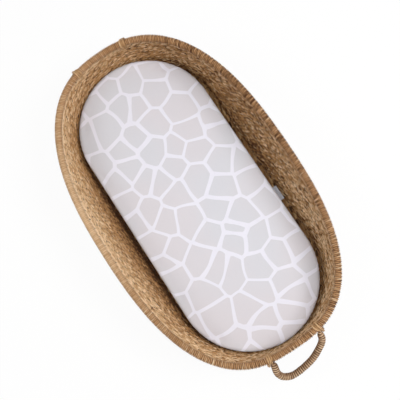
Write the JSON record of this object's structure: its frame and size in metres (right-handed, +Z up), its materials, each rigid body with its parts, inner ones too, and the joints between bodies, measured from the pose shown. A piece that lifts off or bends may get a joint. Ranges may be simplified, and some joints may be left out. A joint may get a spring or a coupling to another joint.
{
  "type": "changing basket",
  "caption": "Oval woven baby changing basket with a wrapped rim, lower at each end, a rope handle that swings at each end and a lift-out mattress in a printed fitted sheet.",
  "frame": {"origin": "middle of the flat underside of the basket's floor", "axes": "+X along the basket to its lower, foot end; +Y across to the side with the tag; +Z up"},
  "size_m": [0.8412, 0.4534, 0.1993],
  "materials": {
    "seagrass": "dry twined seagrass, tan with light and dark strands, matte",
    "floor_weave": "dry woven seagrass, brown, matte",
    "cane": "bare cane, hidden",
    "rim_seagrass": "seagrass wound round the rim, matte",
    "lashing": "light seagrass strand, slight sheen",
    "rope_core": "stiff plant-fibre rope, matte",
    "rope_wrap": "twisted seagrass wound round the rope, matte",
    "foam": "foam, hidden",
    "wipe_clean_cover": "smooth coated cloth, hidden",
    "printed_cotton": "soft knitted cotton, pale grey cells between white lines",
    "elastic": "narrow woven elastic, hidden",
    "label_tape": "plain grey-blue woven tape"
  },
  "bodies": {
    "basket": {"base_floor": "floor_weave", "woven_wall": "seagrass", "rim_hoop": "cane", "rim_wrap": "rim_seagrass", "foot_lashing_left": "lashing", "foot_lashing_right": "lashing", "head_lashing_left": "lashing", "head_lashing_right": "lashing"},
    "foot_handle": {"foot_handle_core": "rope_core", "foot_handle_wrap": "rope_wrap"},
    "head_handle": {"head_handle_core": "rope_core", "head_handle_wrap": "rope_wrap"},
    "mattress": {"foam_core": "foam", "foam_cover": "wipe_clean_cover", "fitted_sheet": "printed_cotton", "sheet_elastic": "elastic", "side_label": "label_tape"}
  },
  "joints": [
    {"name": "foot_handle_swing", "type": "hinge", "parent": "basket", "child": "foot_handle", "pos_m": [0.38477, 0, 0.12332], "axis": [0, -1, 0], "range_deg": [-59, 75]},
    {"name": "head_handle_swing", "type": "hinge", "parent": "basket", "child": "head_handle", "pos_m": [-0.38244, 0, 0.14326], "axis": [0, 1, 0], "range_deg": [-2, 130]},
    {"name": "mattress_lift", "type": "slide", "parent": "basket", "child": "mattress", "axis": [0, 0, 1], "range_m": [0, 0.25]}
  ]
}
